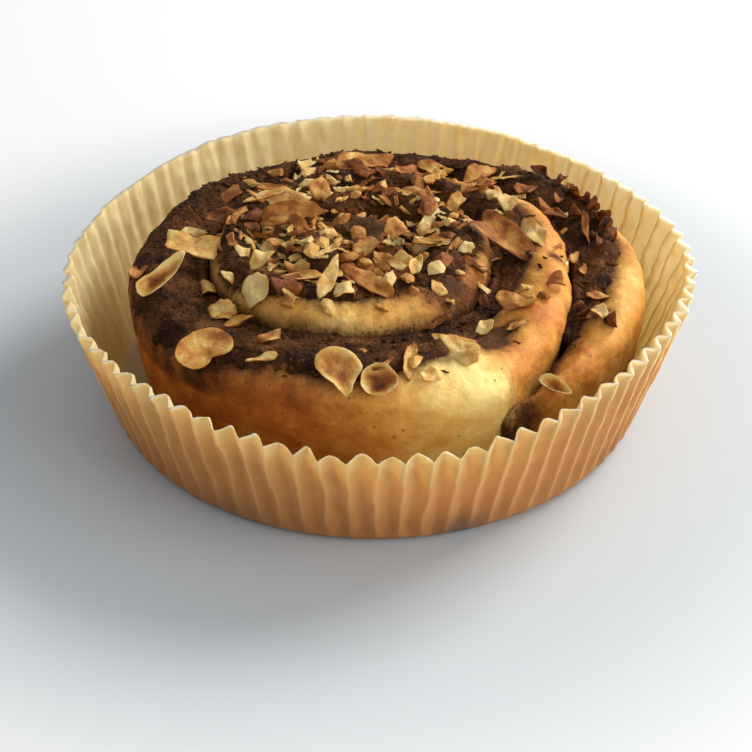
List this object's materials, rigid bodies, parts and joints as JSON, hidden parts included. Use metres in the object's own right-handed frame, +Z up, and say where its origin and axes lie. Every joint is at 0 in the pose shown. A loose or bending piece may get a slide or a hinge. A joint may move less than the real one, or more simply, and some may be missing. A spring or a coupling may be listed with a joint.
{
  "type": "cinnamon swirl bun in a paper case",
  "caption": "Round cinnamon swirl bun: a coiled dough strip with dark filling between its turns, sliced and chopped nuts on top, in a low pleated paper baking case.",
  "frame": {"origin": "centre of the case's flat base, on the surface it stands on", "axes": "+Z up; -Y is the front, where the outer end of the rolled strip is tucked in"},
  "size_m": [0.1318, 0.1341, 0.0399],
  "materials": {
    "greaseproof_paper": "unbleached tan greaseproof paper, pleated, slightly see-through, with faint grease marks",
    "baked_dough": "baked enriched dough, golden brown crust on the side and pale yellow in the folds",
    "dark_filling": "very dark brown grainy cinnamon and sugar filling with toasted nuts"
  },
  "bodies": {
    "root": {"paper_case": "greaseproof_paper", "dough_swirl": "baked_dough", "cinnamon_filling": "dark_filling"}
  },
  "joints": []
}
